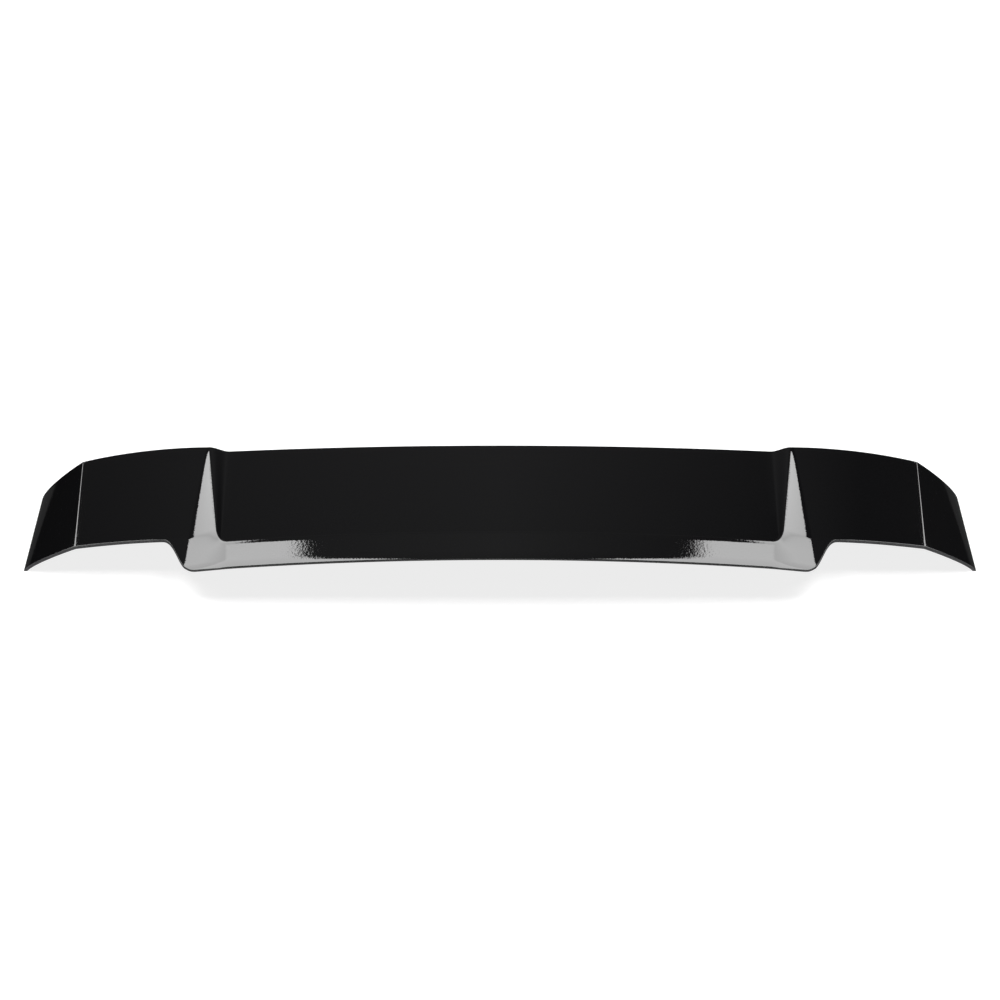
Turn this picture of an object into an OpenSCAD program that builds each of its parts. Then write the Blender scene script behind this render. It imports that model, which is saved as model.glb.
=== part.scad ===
// Roof spoiler for a rear door: one thin gloss-black moulding.
// X runs across the car, +Y to the front of the car and Z up. The moulding stands
// on its two side edges at Z = 0, and the origin is below the middle of its outline.

/* [Outline] */
// Width across the rear tips of the two side edges
span = 1200; // [1100:5:1340]
// Extra width across the front corners of the side edges
span_flare = 10; // [0:1:40]
// Distance from the rear tips of the side edges to the front edge at the ridges
chord = 217; // [200:1:250]
// Length of a side edge, from its front corner to its rear tip
side_len = 178; // [150:1:195]
// How far the lip's rear corners lie behind the rear tips of the side edges
overhang = 70; // [55:1:85]
// Rearward bow of the front edge between the ridges
front_bow = 21; // [5:1:35]
// Rearward bow of the rear edge between the rear corners
rear_bow = 6; // [2:1:16]

/* [Section] */
// Height of the front edge at the ridges
front_h = 57.5; // [50:0.5:70]
// Rise of the top from the ridges to the middle
crown = 21; // [10:1:32]
// Slope of the top at its front edge, in degrees
front_slope = 0.5; // [0:0.1:2]
// Slope of the top at the lip's crease, in degrees
rear_slope = 2.5; // [1:0.1:6]
// Roundness of the wing's front edge from above, where 1 is straight and 2 is an ellipse
sweep = 1.6; // [1.4:0.1:3]

/* [Wings] */
// Fall of a wing's top from the ridge's foot to the fold
wing_fall = 12; // [6:0.5:16]
// Width of the turned-down end, from the fold to the side edge, at the front edge
end_front_w = 54; // [40:1:70]
// Width of the turned-down end at the side edge's rear tip
end_rear_w = 68; // [50:1:85]
// Height over which the wing's top and its turned-down end blend at the fold
fold_blend = 0.4; // [0.2:0.1:4]
// Share of the turned-down end's height that falls evenly, the rest rounds its foot
end_evenness = 0.7; // [0.5:0.01:0.9]

/* [Ridges and lip] */
// Distance between the ridge crests at the front edge
crest_w = 771; // [740:1:800]
// How far each crest runs inwards from the front edge to the lip
crest_taper = 35.5; // [20:0.5:50]
// Width of a ridge's outer flank at the front edge, where it is narrowest
flank_front_w = 3; // [1:0.5:10]
// Height of the crest over the wing at the lip
crest_rise = 8; // [1:0.1:12]
// Hollowness of the flank, where 1 is flat
flank_power = 1.6; // [1.2:0.1:3]
// Length of the lip behind the panel, front to rear
lip_len = 36.5; // [30:0.5:45]
// Slope of the lip, in degrees
lip_slope = 22; // [16:0.5:30]
// Length over which the panel's slope turns into the lip's
lip_blend = 6; // [3:1:10]
// Length of the lip's rolled rear edge
roll_len = 8; // [4:1:14]
// Extra fall of the lip's rolled rear edge
roll_fall = 1.2; // [0:0.1:3]

/* [Panel] */
// Depth of the panel below the crests at the front edge
recess_front = 7.9; // [4:0.1:9]
// Depth of the panel below the lip
recess_rear = 2.6; // [1.5:0.1:4]
// Width of the panel's side wall at the front edge
wall_front_w = 28; // [14:1:32]
// Width of the panel's side wall at the lip
wall_rear_w = 5; // [3.5:0.5:8]
// Radius of the panel's rear corners
corner_r = 12; // [6:1:20]

/* [Wing rear edge] */
// How far the wings' rear edge lies behind the side edges' rear tips
wing_back = 8; // [0:1:16]
// Width of the S-shaped step in the rear edge
step_w = 47.5; // [30:0.5:60]
// How far the step starts inside the foot of the ridge
step_inset = 12.5; // [4:0.5:20]
// Width over which the lip's fall fades out into the wing
lip_fade_w = 81; // [60:1:110]
// Curve of the wing's rear edge towards the tip, where 1 is a straight line
tip_curve = 3.5; // [2:0.1:6]

/* [Wall] */
// Thickness of the wall
wall = 4.2; // [3:0.1:5]
// Radius on the outer rim of the wall
rim_r = 1.2; // [0.6:0.1:1.8]
// Bevel on the inner rim of the wall
rim_bevel = 0.5; // [0.3:0.1:1]

/* [Hidden] */

// Steps between stations: panel, its side wall, flank, S-step, wing, fold and turned-down end
steps = [9, 6, 4, 8, 5, 4, 9];
// Half width of the stretch of close stations at the fold
fold_w = 4;
// Steps between rows, in front of the lip's crease and behind it
top_steps = 18;
lip_steps = 6;
// Steps round the outer rim
rim_steps = 3;
// Share of even spacing between rows, the rest gathers at the crease
row_evenness = 0.12;

foot_x = crest_w / 2 + flank_front_w;
step_x = foot_x - step_inset;
crease_y0 = lip_len - overhang;
base_chord = chord - crease_y0;
fall_front = tan(front_slope);
fall_rear = tan(rear_slope);
fall_gain = (fall_rear - fall_front) / (2 * base_chord);
bow = (front_bow + rear_bow) / 2;
lip_fall = (tan(lip_slope) - fall_rear) * (lip_len - lip_blend / 2);
crest_rear_x = crest_w / 2 - crest_taper;
lip_fade_x = step_x + step_w / 2;

function mix(a, b, t) = a + (b - a) * t;
function clamp01(t) = max(0, min(1, t));
function ease(t) = let (c = clamp01(t)) c * c * (3 - 2 * c);
function soft_ease(t) = let (c = clamp01(t)) c * c * c * (c * (6 * c - 15) + 10);
function unit(v) = v / norm(v);
function middle(x) = 1 - pow(min(x, foot_x) / foot_x, 2);
function round_off(q, power) = pow(max(0, 1 - pow(q, power)), 1 / power);

// Share of the way from the lip's crease to the front edge, measured at the ridges
function forward(y) = (y - crease_y0) / base_chord;

// Half width of the side edges and of the crests, and width of the panel's wall
function side_x(y) = (span + span_flare * y / side_len) / 2;
function crest_x(y) = mix(crest_rear_x, crest_w / 2, forward(y));
function side_wall_w(y) = mix(wall_rear_w, wall_front_w, clamp01(forward(y)));

// Edges of the outline, and the crease between panel and lip
function front_y(x, q) = q > 0
    ? mix(side_len, chord, round_off(q, sweep))
    : chord - front_bow * middle(x);
function crease_y(x) = crease_y0 - rear_bow * middle(x);
function rear_y(x, q) =
    let (inner = -overhang - rear_bow * middle(x),
         outer = -wing_back * (1 - pow(q, tip_curve)))
    mix(inner, outer, soft_ease((x - step_x) / step_w));

// How far the panel's rounded corner moves one edge in, at a distance from the other edge
function corner_in(d) =
    let (c = corner_r * clamp01(1 - d / corner_r))
    corner_r - sqrt(corner_r * corner_r - c * c);

// Height of the wing's profile at the ridge's foot
function profile(y) =
    let (d = chord - y)
    front_h - fall_front * d - fall_gain * d * d;

// Line along which the wing turns down
function fold_x(y) = side_x(y) - mix(end_rear_w, end_front_w, y / chord);

// Height of the wing: its top and its turned-down end meet in a soft fold
function wing_z(x, y) =
    let (fold = fold_x(y),
         t = (x - foot_x) / (fold - foot_x),
         s = (x - fold) / (side_x(y) - fold),
         foot = sqrt(1 - pow(clamp01(s), 2)),
         top = profile(y) - wing_fall * t * t,
         end = (profile(y) - wing_fall) * (end_evenness * (1 - s) + (1 - end_evenness) * foot),
         near = max(0, 1 - abs(top - end) / fold_blend))
    min(top, end) - fold_blend * near * near / 4;

// Height of the plain surface, without ridges, lip and panel
function base_z(x, y) = x > foot_x
    ? wing_z(x, y)
    : profile(y + bow * middle(x)) + crown * middle(x);

// Share of a ridge's height that its flank has: 1 at the crest, 0 at the foot
function flank(x, y) =
    let (edge_x = crest_x(y) - corner_in(y - crease_y(crest_rear_x)))
    pow(clamp01((foot_x - x) / (foot_x - edge_x)), flank_power);

// Height that the ridges and the lip's front edge stand over the plain surface
function rise_z(x, y) = crest_rise * (1 - clamp01(forward(y))) * flank(x, y);

// Extra fall of the lip behind its crease, less on the flanks, so that its rear edge runs level
function lip_z(x, y) =
    let (corner = corner_in(crest_rear_x - x),
         len = lip_len + corner,
         d = crease_y(x) + corner - y,
         run = d < lip_blend ? d * d / (2 * lip_blend) : d - lip_blend / 2,
         fall = lip_fall - crest_rise * (1 - flank(x, y)),
         roll = max(0, d - len + roll_len) / roll_len)
    d <= 0 ? 0
    : (fall * run / (len - lip_blend / 2) + roll_fall * roll * roll)
      * (1 - ease((x - lip_fade_x) / lip_fade_w));

// Distance inside the panel's rim, with its rear corners rounded
function rim_distance(x, y) =
    let (side = crest_x(y) - x,
         rear = y - crease_y(x),
         a = corner_r - side,
         b = corner_r - rear)
    a > 0 && b > 0 ? corner_r - norm([a, b]) : min(side, rear);

// Depth of the panel's recess
function recess_z(x, y) =
    mix(recess_rear, recess_front, clamp01(forward(y)))
    * ease(rim_distance(x, y) / side_wall_w(y));

function top_z(x, y) = base_z(x, y) + rise_z(x, y) - recess_z(x, y) - lip_z(x, y);

// Lines across one half that the stations lie between
function lines_x(y) = [
    0,
    crest_x(y) - max(side_wall_w(y), corner_r),
    crest_x(y),
    foot_x,
    step_x + step_w,
    fold_x(y) - fold_w,
    fold_x(y) + fold_w,
    side_x(y)
];

// A station is [line, share of the way to the next line], and the shares of the last stretch
// follow an arc, because the outline turns fastest there
last_line = len(steps) - 1;
half_stations = [
    for (k = [0:last_line])
        for (i = [0:steps[k] - (k < last_line ? 1 : 0)])
            [k, k < last_line ? i / steps[k] : sin(90 * i / steps[k])]
];
function station_x(s, y) =
    let (lines = lines_x(y))
    mix(lines[s[0]], lines[s[0] + 1], s[1]);

// Share of the way from the ridge's foot to the side edge
function wing_share(x, y) = clamp01((x - foot_x) / (side_x(y) - foot_x));

// Rows of one station, from the front edge to the rear edge
function gather(t) = t * (row_evenness + (1 - row_evenness) * t);
function station_rows(s) =
    let (rear_x = station_x(s, 0),
         front_x = station_x(s, chord),
         rear = rear_y(rear_x, wing_share(rear_x, 0)),
         front = front_y(front_x, wing_share(front_x, chord)),
         inside = soft_ease((rear_x - step_x) / step_w),
         crease = mix(crease_y(rear_x), rear + lip_len / 2, inside))
    concat(
        [for (i = [top_steps:-1:1]) mix(crease, front, gather(i / top_steps))],
        [for (i = [0:lip_steps]) mix(crease, rear, gather(i / lip_steps))]
    );

// Plain surface at a station and a y, its outward direction and its front-to-rear direction
function base_point(s, y) =
    let (x = station_x(s, y))
    [x, y, base_z(x, y)];
function moved(s, by) = [s[0], clamp01(s[1] + by)];
function lengthwise(s, y) = unit(base_point(s, y + 1) - base_point(s, y - 1));
function outward(s, y) =
    let (n = unit(cross(base_point(moved(s, 0.01), y) - base_point(moved(s, -0.01), y),
                        lengthwise(s, y))))
    s == [0, 0] ? unit([0, n[1], n[2]])
    : s == [last_line, 1] ? unit([n[0], n[1], 0])
    : n;

function top_point(s, y) =
    let (x = station_x(s, y))
    [x, y, top_z(x, y)];

// Rounded outer and bevelled inner rim, from the top to the underside
function rim(p, out, along) = concat(
    [for (i = [1:rim_steps])
        let (a = 90 * i / rim_steps)
        p + rim_r * (sin(a) * along - (1 - cos(a)) * out)],
    [p + rim_r * along - (wall - rim_bevel) * out,
     p + (rim_r - rim_bevel) * along - wall * out]
);

// The side edges are cut flat at Z = 0
function cut_flat(p) = [p[0], p[1], max(0, p[2])];

// Closed section of the wall at one station
function section(s) =
    let (rows = station_rows(s),
         last = len(rows) - 1,
         tops = [for (y = rows) top_point(s, y)],
         outs = [for (y = rows) outward(s, y)],
         front_rim = rim(tops[0], outs[0], lengthwise(s, rows[0])))
    [for (p = concat(
        tops,
        rim(tops[last], outs[last], -lengthwise(s, rows[last])),
        [for (j = [last:-1:0]) tops[j] - wall * outs[j]],
        [for (j = [len(front_rim) - 1:-1:0]) front_rim[j]]))
        cut_flat(p)];

sections = [for (s = half_stations) section(s)];
half_count = len(half_stations) - 1;
ring = len(sections[0]);
all_y = [for (points = sections) for (p = points) p[1]];
middle_y = (max(all_y) + min(all_y)) / 2;

module spoiler_shell() {
    points = [
        for (i = [-half_count:half_count])
            for (p = sections[abs(i)])
                [i < 0 ? -p[0] : p[0], p[1] - middle_y, p[2]]
    ];
    // The diagonals of the left half mirror those of the right half
    skin = [
        for (i = [0:2 * half_count - 1])
            for (j = [0:ring - 1])
                let (a = i * ring + j,
                     d = i * ring + (j + 1) % ring,
                     b = a + ring,
                     c = d + ring)
                for (tri = i < half_count ? [[a, b, d], [b, c, d]] : [[a, b, c], [a, c, d]])
                    tri
    ];
    left_edge = [for (j = [0:ring - 1]) j];
    right_edge = [for (j = [ring - 1:-1:0]) 2 * half_count * ring + j];
    color([0.03, 0.03, 0.033])
        polyhedron(points = points, faces = concat(skin, [left_edge, right_edge]));
}

spoiler_shell();
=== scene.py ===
from math import cos, hypot, pi, radians, sin, sqrt, tan

import bmesh
import bpy
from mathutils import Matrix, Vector


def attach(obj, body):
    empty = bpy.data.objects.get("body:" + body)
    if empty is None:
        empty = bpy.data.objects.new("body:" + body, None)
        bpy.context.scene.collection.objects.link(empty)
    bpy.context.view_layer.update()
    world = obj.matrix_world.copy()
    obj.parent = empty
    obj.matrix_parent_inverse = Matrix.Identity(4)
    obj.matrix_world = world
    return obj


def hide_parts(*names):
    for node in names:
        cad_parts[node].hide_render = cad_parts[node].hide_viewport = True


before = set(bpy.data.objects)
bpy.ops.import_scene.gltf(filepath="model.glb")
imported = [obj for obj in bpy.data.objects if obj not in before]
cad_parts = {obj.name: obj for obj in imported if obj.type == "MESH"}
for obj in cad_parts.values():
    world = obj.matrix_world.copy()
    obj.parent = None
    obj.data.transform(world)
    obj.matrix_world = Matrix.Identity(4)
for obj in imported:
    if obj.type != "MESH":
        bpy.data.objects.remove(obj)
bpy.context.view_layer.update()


def addObject(name, data):
    thing = bpy.data.objects.new(name, data)
    bpy.context.scene.collection.objects.link(thing)
    return thing


def addMesh(name, bm, materials):
    data = bpy.data.meshes.new(name)
    bm.to_mesh(data)
    bm.free()
    for material in materials:
        data.materials.append(material)
    return addObject(name, data)


# Camera
photoCamera = {
    "distance": 3.2,
    "elevation": 30,            # degrees above the horizon
    "lookAtHeight": 0.062,
    "fieldOfView": 22.486,      # degrees across the square picture
    "clipEnd": 60,
}


def makeCamera():
    data = bpy.data.cameras.new("photoCamera")
    camera = addObject("photoCamera", data)
    tilt = radians(photoCamera["elevation"])
    away = Vector((0, -cos(tilt), sin(tilt)))
    camera.location = Vector((0, 0, photoCamera["lookAtHeight"])) + away * photoCamera["distance"]
    camera.rotation_euler = (-away).to_track_quat("-Z", "Y").to_euler()
    data.angle = radians(photoCamera["fieldOfView"])
    data.clip_end = photoCamera["clipEnd"]
    bpy.context.scene.camera = camera


makeCamera()
print("camera made")

# Spoiler skin: lengths in metres and slopes in degrees, with y = 0 at the side edges' rear tips
skin = {
    # outline
    "span": 1.200, "spanFlare": 0.010, "chord": 0.217, "sideLength": 0.178, "sweep": 1.6,
    "overhang": 0.070, "frontBow": 0.021, "rearBow": 0.006,
    "wingBack": 0.008, "stepWidth": 0.0475, "stepInset": 0.0125, "tipCurve": 3.5,
    # crowned middle
    "frontHeight": 0.0575, "crown": 0.021, "frontSlope": 0.5, "rearSlope": 2.5,
    # wings and their folded ends
    "wingFall": 0.012, "endFront": 0.054, "endRear": 0.068, "endEvenness": 0.7, "foldBlend": 0.0002,
    # ridges and their flanks
    "crestWidth": 0.771, "crestTaper": 0.0355, "crestRise": 0.008,
    "flankFront": 0.003, "flankPower": 1.6,
    # sunken panel, with its wall and rear corners
    "recessFront": 0.0079, "recessRear": 0.0026, "wallFront": 0.028, "wallRear": 0.005,
    "cornerSide": 0.012, "cornerRear": 0.032,
    # lip
    "lipLength": 0.0365, "lipSlope": 22, "lipBlend": 0.006, "lipFade": 0.081,
    "rollLength": 0.008, "rollFall": 0.0012,
    # thickness and rim
    "wall": 0.0042, "rimRadius": 0.0012, "rimBevel": 0.0005,
}
mesh = {
    "columns": (34, 22, 28, 26, 24, 16, 40),    # panel, its wall, flank, step, wing, fold and end
    "crestGather": 1.7,         # how close the columns gather at the crest, where 1 is even
    "foldStretch": 0.0012,      # half width of the close columns at the fold
    "topRows": 76, "lipRows": 40,
    "topEvenness": 0.3,         # share of even spacing, the rest gathers at the lip's crease
    "lipEvenness": 0.7,
    "rimSegments": 4,
}

footX = skin["crestWidth"] / 2 + skin["flankFront"]
crestRearX = skin["crestWidth"] / 2 - skin["crestTaper"]
stepX = footX - skin["stepInset"]
fadeX = stepX + skin["stepWidth"] / 2
creaseY = skin["lipLength"] - skin["overhang"]
baseChord = skin["chord"] - creaseY
fallFront = tan(radians(skin["frontSlope"]))
fallRear = tan(radians(skin["rearSlope"]))
fallGain = (fallRear - fallFront) / (2 * baseChord)
meanBow = (skin["frontBow"] + skin["rearBow"]) / 2
fullLipFall = (tan(radians(skin["lipSlope"])) - fallRear) * (skin["lipLength"] - skin["lipBlend"] / 2)


def mix(a, b, t):
    return a + (b - a) * t


def clamp(t):
    return max(0.0, min(1.0, t))


def ease(t):
    t = clamp(t)
    return t * t * (3 - 2 * t)


def softEase(t):
    t = clamp(t)
    return t ** 3 * (t * (6 * t - 15) + 10)


def middle(x):                  # 1 in the middle, 0 from the ridge's foot outwards
    return 1 - (min(x, footX) / footX) ** 2


def roundOff(q, power):
    return max(0.0, 1 - q ** power) ** (1 / power)


def forward(y):                 # 0 at the lip's crease, 1 at the front edge
    return (y - creaseY) / baseChord


def sideX(y):
    return (skin["span"] + skin["spanFlare"] * y / skin["sideLength"]) / 2


def crestX(y):
    return mix(crestRearX, skin["crestWidth"] / 2, forward(y))


def wallWidth(y):
    return mix(skin["wallRear"], skin["wallFront"], clamp(forward(y)))


def wingShare(x, y):            # 0 at the ridge's foot, 1 at the side edge
    return clamp((x - footX) / (sideX(y) - footX))


def frontEdge(x):
    q = wingShare(x, skin["chord"])
    if q > 0:
        return mix(skin["sideLength"], skin["chord"], roundOff(q, skin["sweep"]))
    return skin["chord"] - skin["frontBow"] * middle(x)


def creaseLine(x):
    return creaseY - skin["rearBow"] * middle(x)


def stepShare(x):               # 0 inside the step of the rear edge, 1 outside it
    return softEase((x - stepX) / skin["stepWidth"])


def rearEdge(x):
    inner = -skin["overhang"] - skin["rearBow"] * middle(x)
    outer = -skin["wingBack"] * (1 - wingShare(x, 0) ** skin["tipCurve"])
    return mix(inner, outer, stepShare(x))


def profile(y):
    d = skin["chord"] - y
    return skin["frontHeight"] - fallFront * d - fallGain * d * d


def foldX(y):                   # line along which the wing turns down
    return sideX(y) - mix(skin["endRear"], skin["endFront"], y / skin["chord"])


def wingHeight(x, y):
    fold = foldX(y)
    t = (x - footX) / (fold - footX)
    s = (x - fold) / (sideX(y) - fold)
    even = skin["endEvenness"]
    top = profile(y) - skin["wingFall"] * t * t
    end = (profile(y) - skin["wingFall"]) * (even * (1 - s) + (1 - even) * sqrt(1 - clamp(s) ** 2))
    near = max(0, 1 - abs(top - end) / skin["foldBlend"])
    return min(top, end) - skin["foldBlend"] * near * near / 4


def plainHeight(x, y):
    if x > footX:
        return wingHeight(x, y)
    return profile(y + meanBow * middle(x)) + skin["crown"] * middle(x)


def cornerPlace(x, y):          # across, rearwards and both together, where 1 is the panel's rim
    a = max(0, 1 - (crestX(y) - x) / skin["cornerSide"])
    b = max(0, 1 - (y - creaseLine(x)) / skin["cornerRear"])
    return a, b, hypot(a, b)


def flankShare(x, y):           # 1 at the ridge's crest, 0 at its foot
    a, _, both = cornerPlace(x, y)
    gap = a * (1 - 1 / max(1, both)) * skin["cornerSide"]
    return clamp(1 - gap / (footX - crestX(y))) ** skin["flankPower"]


def crestHeight(x, y):
    return skin["crestRise"] * (1 - clamp(forward(y))) * flankShare(x, y)


def lipFall(x, y):
    a, b, both = cornerPlace(x, y)
    d = b * (1 - 1 / max(1, both)) * skin["cornerRear"]
    if d <= 0:
        return 0
    reach = skin["lipLength"] + skin["cornerRear"]
    length = reach * (1 - 1 / hypot(a, reach / skin["cornerRear"]))
    blend = skin["lipBlend"]
    run = d * d / (2 * blend) if d < blend else d - blend / 2
    full = fullLipFall - skin["crestRise"] * (1 - flankShare(x, y))
    roll = max(0, d - length + skin["rollLength"]) / skin["rollLength"]
    fall = full * run / (length - blend / 2) + skin["rollFall"] * roll * roll
    return fall * (1 - ease((x - fadeX) / skin["lipFade"]))


def rimDistance(x, y):          # inside the panel's rim, with its rear corners rounded
    a, b, both = cornerPlace(x, y)
    if a > 0 and b > 0:
        return (1 - both) * (a * a * skin["cornerSide"] + b * b * skin["cornerRear"]) / both ** 2
    return min(crestX(y) - x, y - creaseLine(x))


def panelDepth(x, y):
    depth = mix(skin["recessRear"], skin["recessFront"], clamp(forward(y)))
    return depth * ease(rimDistance(x, y) / wallWidth(y))


def topHeight(x, y):
    return plainHeight(x, y) + crestHeight(x, y) - panelDepth(x, y) - lipFall(x, y)


def lineX(line, y):             # lines that the columns lie between, from the middle outwards
    near = mesh["foldStretch"]
    return (0, crestX(y) - max(wallWidth(y), skin["cornerSide"]), crestX(y), footX,
            stepX + skin["stepWidth"], foldX(y) - near, foldX(y) + near, sideX(y))[line]


def stretchShare(line, t):      # spacing of the columns in one stretch, on an arc in the last one
    if line == 1:
        return 1 - (1 - t) ** mesh["crestGather"]
    if line == 2:
        return t ** mesh["crestGather"]
    return sin(pi / 2 * t) if line == len(mesh["columns"]) - 1 else t


def halfColumns():              # (line, share of the way to the next line)
    columns = []
    for line, count in enumerate(mesh["columns"]):
        columns += [(line, stretchShare(line, i / count)) for i in range(count)]
    return columns + [(len(mesh["columns"]) - 1, 1.0)]


def columnX(column, y):
    line, share = column
    return mix(lineX(line, y), lineX(line + 1, y), share)


def gathered(t, even):          # spacing of the rows, closest at 0
    return t * (even + (1 - even) * t)


def columnRows(column):         # from the front edge to the rear edge, with the rim's radius added
    rearX = columnX(column, 0)
    front = frontEdge(columnX(column, skin["chord"]))
    rear = rearEdge(rearX)
    crease = mix(creaseLine(rearX), rear + skin["lipLength"] / 2, stepShare(rearX))
    front += skin["rimRadius"]
    rear -= skin["rimRadius"]
    top, lip = mesh["topRows"], mesh["lipRows"]
    rows = [mix(crease, front, gathered(i / top, mesh["topEvenness"])) for i in range(top, 0, -1)]
    return rows + [mix(crease, rear, gathered(i / lip, mesh["lipEvenness"])) for i in range(lip + 1)]


def thicken(piece):             # three material slots: top, rim and underside
    thick = piece.modifiers.new("wall", "SOLIDIFY")
    thick.thickness = skin["wall"]
    thick.offset = -1
    thick.use_even_offset = True
    thick.use_quality_normals = True
    thick.material_offset_rim = 1
    thick.material_offset = 2
    deps = bpy.context.evaluated_depsgraph_get()
    done = bpy.data.meshes.new_from_object(piece.evaluated_get(deps))
    piece.modifiers.clear()
    piece.data = done


def roundRim(piece):            # rounded outside, bevelled inside
    bm = bmesh.new()
    bm.from_mesh(piece.data)
    for vert in bm.verts:
        vert.co.z = max(0, vert.co.z)
    cuts = (({0, 1}, skin["rimRadius"], mesh["rimSegments"]), ({1, 2}, skin["rimBevel"], 1))
    for slots, width, segments in cuts:
        edges = [e for e in bm.edges if {face.material_index for face in e.link_faces} == slots]
        bmesh.ops.bevel(bm, geom=edges, offset=width, offset_type="OFFSET", segments=segments,
                        profile=0.5, affect="EDGES", material=-1, clamp_overlap=True)
    for face in bm.faces:
        face.smooth = True
    bm.to_mesh(piece.data)
    bm.free()


def makeSkin(materials):
    columns = halfColumns()
    half = len(columns) - 1
    rowCount = mesh["topRows"] + mesh["lipRows"]
    placed = [columnRows(column) for column in columns]
    middleY = (skin["chord"] - skin["overhang"] - skin["rearBow"]) / 2
    bm = bmesh.new()
    bmesh.ops.create_grid(bm, x_segments=2 * half, y_segments=rowCount, size=1)
    for vert in bm.verts:
        i = round(vert.co.x * half)
        j = round((1 - vert.co.y) / 2 * rowCount)
        y = placed[abs(i)][j]
        x = columnX(columns[abs(i)], y)
        vert.co = (x if i > 0 else -x, y - middleY, topHeight(x, y))
    bmesh.ops.recalc_face_normals(bm, faces=bm.faces)
    if sum(face.normal.z for face in bm.faces) < 0:
        bmesh.ops.reverse_faces(bm, faces=bm.faces)
    piece = addMesh("spoilerSkin", bm, materials)
    thicken(piece)
    roundRim(piece)
    return piece


# Materials, each with the waves per metre and the depth in metres of its orange peel or grain
lacquer = {"colour": (0.0012, 0.0012, 0.0014, 1), "roughness": 0.035, "waves": 320, "depth": 0.00004}
# The cut edges' grey colour is partly the lighter cut plastic and partly painted sheen, standing for
# the white floor's reflection on the cut faces
cutPlasticAndSheen = {"colour": (0.08, 0.08, 0.082, 1), "roughness": 0.45, "waves": 1500, "depth": 0.00004}
barePlastic = {"colour": (0.014, 0.014, 0.015, 1), "roughness": 0.6, "waves": 900, "depth": 0.00012}
noiseDetail = 3


def newMaterial(name):
    material = bpy.data.materials.new(name)
    material.use_nodes = True
    return material, material.node_tree.nodes, material.node_tree.links


def placeRamp(nodes, links, value, stops):      # grey levels, with stops of (place, level)
    ramp = nodes.new("ShaderNodeValToRGB")
    while len(ramp.color_ramp.elements) < len(stops):
        ramp.color_ramp.elements.new(0.5)
    for element, (place, level) in zip(ramp.color_ramp.elements, stops):
        element.position = place
        element.color = (level, level, level, 1)
    links.new(value, ramp.inputs["Fac"])
    return ramp.outputs["Color"]


def makeGrainGroup():           # normals of the orange peel and of the grain
    group = bpy.data.node_groups.new("fineGrain", "ShaderNodeTree")
    group.interface.new_socket("Place", in_out="INPUT", socket_type="NodeSocketVector")
    group.interface.new_socket("Scale", in_out="INPUT", socket_type="NodeSocketFloat")
    group.interface.new_socket("Depth", in_out="INPUT", socket_type="NodeSocketFloat")
    group.interface.new_socket("Normal", in_out="OUTPUT", socket_type="NodeSocketVector")
    nodes, links = group.nodes, group.links
    given = nodes.new("NodeGroupInput")
    result = nodes.new("NodeGroupOutput")
    noise = nodes.new("ShaderNodeTexNoise")
    noise.inputs["Detail"].default_value = noiseDetail
    bump = nodes.new("ShaderNodeBump")
    bump.inputs["Strength"].default_value = 1
    links.new(given.outputs["Place"], noise.inputs["Vector"])
    links.new(given.outputs["Scale"], noise.inputs["Scale"])
    links.new(given.outputs["Depth"], bump.inputs["Distance"])
    links.new(noise.outputs["Fac"], bump.inputs["Height"])
    links.new(bump.outputs["Normal"], result.inputs["Normal"])
    return group


fineGrain = makeGrainGroup()


def grainedMaterial(name, finish):
    material, nodes, links = newMaterial(name)
    shader = nodes["Principled BSDF"]
    shader.inputs["Base Color"].default_value = finish["colour"]
    shader.inputs["Roughness"].default_value = finish["roughness"]
    where = nodes.new("ShaderNodeTexCoord")
    grain = nodes.new("ShaderNodeGroup")
    grain.node_tree = fineGrain
    grain.inputs["Scale"].default_value = finish["waves"]
    grain.inputs["Depth"].default_value = finish["depth"]
    links.new(where.outputs["Object"], grain.inputs["Place"])
    links.new(grain.outputs["Normal"], shader.inputs["Normal"])
    return material


def blackLacquer():
    return grainedMaterial("blackLacquer", lacquer)


def cutEdge():
    return grainedMaterial("cutEdge", cutPlasticAndSheen)


def mouldedUnderside():
    return grainedMaterial("mouldedUnderside", barePlastic)


spoiler = makeSkin([blackLacquer(), cutEdge(), mouldedUnderside()])
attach(spoiler, "root")
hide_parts("spoiler_shell")
print("spoiler skin made:", len(spoiler.data.polygons), "faces")

# Floor
studioFloor = {
    "size": 30, "colour": 0.25, "roughness": 0.8,
    "lift": 0.8,                # light added for the camera alone
    "glossyLevel": 0.08,        # level in reflections
}


def paleFloor():
    material, nodes, links = newMaterial("paleFloor")
    shader = nodes["Principled BSDF"]
    shader.inputs["Base Color"].default_value = (studioFloor["colour"],) * 3 + (1,)
    shader.inputs["Roughness"].default_value = studioFloor["roughness"]
    path = nodes.new("ShaderNodeLightPath")
    lift = nodes.new("ShaderNodeMath")
    lift.operation = "MULTIPLY"
    lift.inputs[1].default_value = studioFloor["lift"]
    glow = nodes.new("ShaderNodeEmission")
    total = nodes.new("ShaderNodeAddShader")
    dim = nodes.new("ShaderNodeEmission")
    dim.inputs["Strength"].default_value = studioFloor["glossyLevel"]
    choice = nodes.new("ShaderNodeMixShader")
    links.new(path.outputs["Is Camera Ray"], lift.inputs[0])
    links.new(lift.outputs[0], glow.inputs["Strength"])
    links.new(shader.outputs[0], total.inputs[0])
    links.new(glow.outputs[0], total.inputs[1])
    links.new(path.outputs["Is Glossy Ray"], choice.inputs[0])
    links.new(total.outputs[0], choice.inputs[1])
    links.new(dim.outputs[0], choice.inputs[2])
    links.new(choice.outputs[0], nodes["Material Output"].inputs["Surface"])
    return material


def makeFloor():
    bm = bmesh.new()
    bmesh.ops.create_grid(bm, x_segments=1, y_segments=1, size=studioFloor["size"] / 2)
    floor = addMesh("floor", bm, [paleFloor()])


makeFloor()
print("floor made")

# Lamp in front, for the floor and the cut edges
frontFill = {"place": (0, -6, 1.6), "aim": (0, 0, 0.05), "size": (5, 1.2), "radiance": 9}


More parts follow.
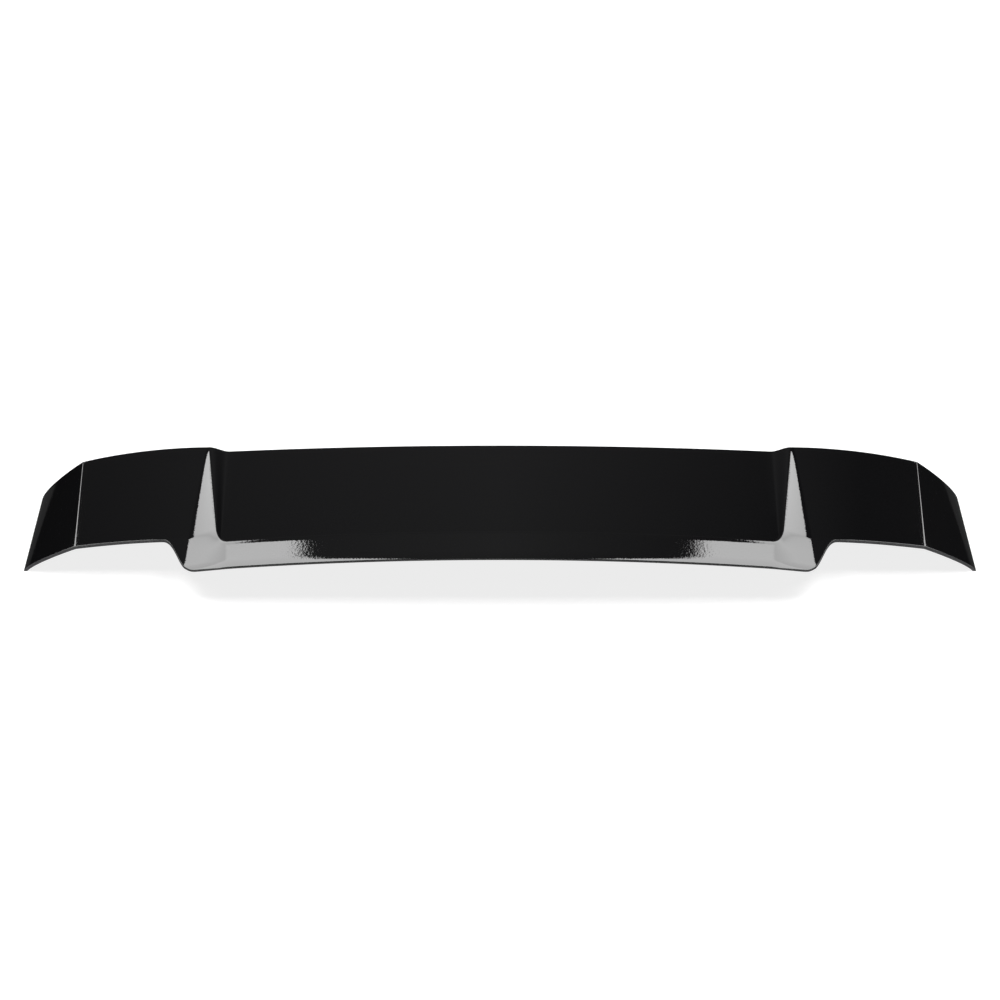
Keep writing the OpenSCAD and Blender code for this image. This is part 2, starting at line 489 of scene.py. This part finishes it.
def makeFrontFill():
    width, height = frontFill["size"]
    data = bpy.data.lights.new("frontFill", "AREA")
    data.shape = "RECTANGLE"
    data.size, data.size_y = width, height
    data.energy = frontFill["radiance"] * pi * width * height
    lamp = addObject("frontFill", data)
    lamp.location = frontFill["place"]
    towards = Vector(frontFill["aim"]) - Vector(frontFill["place"])
    lamp.rotation_euler = towards.to_track_quat("-Z", "Y").to_euler()


makeFrontFill()

# Ceiling panels, one on each side, that the gloss black mirrors as its highlights
ceiling = {
    "height": 6.0,
    "strength": 10.0,
    "outline": (                # x and y of the left panel, mirrored for the right one
        (-0.72, -1.7), (-0.72, -1.5), (-1.32, -0.3), (-1.44, 1.2), (-1.46, 1.75), (-1.9, 1.95),
        (-2.05, 5.9), (-2.55, 6.5), (-2.8, 6.9), (-3.6, 7.5), (-4.5, 8.6), (-4.75, 11.0),
        (-5.2, 14.0), (-6.0, 15.6), (-8.6, 15.6), (-9.8, 10.5), (-9.8, 3.4), (-5.6, 1.5), (-2.7, -1.7)),
    "reach": (-2.0, 16.0),      # y range of the levels below
    "levels": ((0.0, 1.0), (0.2, 1.0), (0.215, 0.8), (0.4, 0.73), (0.5, 0.61), (0.6, 0.46)),
}


def panelGlow():
    material, nodes, links = newMaterial("panelGlow")
    where = nodes.new("ShaderNodeTexCoord")
    split = nodes.new("ShaderNodeSeparateXYZ")
    along = nodes.new("ShaderNodeMapRange")
    along.inputs["From Min"].default_value, along.inputs["From Max"].default_value = ceiling["reach"]
    glow = nodes.new("ShaderNodeEmission")
    glow.inputs["Strength"].default_value = ceiling["strength"]
    links.new(where.outputs["Object"], split.inputs[0])
    links.new(split.outputs["Y"], along.inputs["Value"])
    level = placeRamp(nodes, links, along.outputs["Result"], ceiling["levels"])
    links.new(level, glow.inputs["Color"])
    links.new(glow.outputs[0], nodes["Material Output"].inputs["Surface"])
    return material


def makeCeiling():
    glow = panelGlow()
    for side in (-1, 1):
        bm = bmesh.new()
        bm.faces.new([bm.verts.new((-side * x, y, ceiling["height"])) for x, y in ceiling["outline"]])
        panel = addMesh("ceilingPanel", bm, [glow])
        panel.visible_camera = False


makeCeiling()

# Surroundings: white to the camera, and a dim room in reflections
surroundings = {                # the room's level against the direction's z, and its share against x
    "upward": ((0.1, 0.06), (0.6, 0.125), (0.97, 0.27)),
    "across": ((0.23, 0.2), (0.39, 0.65), (0.5, 1.0), (0.61, 0.3), (0.77, 0.35)),
}


def makeWorld():
    world = bpy.data.worlds.new("studio")
    bpy.context.scene.world = world
    world.use_nodes = True
    nodes, links = world.node_tree.nodes, world.node_tree.links
    where = nodes.new("ShaderNodeTexCoord")
    split = nodes.new("ShaderNodeSeparateXYZ")
    across = nodes.new("ShaderNodeMapRange")
    across.inputs["From Min"].default_value = -1
    room = nodes.new("ShaderNodeMix")
    room.data_type = "RGBA"
    room.blend_type = "MULTIPLY"
    room.inputs["Factor"].default_value = 1
    path = nodes.new("ShaderNodeLightPath")
    seen = nodes.new("ShaderNodeMix")
    seen.data_type = "RGBA"
    seen.inputs["B"].default_value = (1, 1, 1, 1)
    links.new(where.outputs["Generated"], split.inputs[0])
    links.new(split.outputs["X"], across.inputs["Value"])
    level = placeRamp(nodes, links, split.outputs["Z"], surroundings["upward"])
    share = placeRamp(nodes, links, across.outputs["Result"], surroundings["across"])
    links.new(level, room.inputs["A"])
    links.new(share, room.inputs["B"])
    links.new(path.outputs["Is Camera Ray"], seen.inputs["Factor"])
    links.new(room.outputs["Result"], seen.inputs["A"])
    links.new(seen.outputs["Result"], nodes["Background"].inputs["Color"])


makeWorld()
bpy.context.scene.view_settings.view_transform = "Standard"
print("lights made")
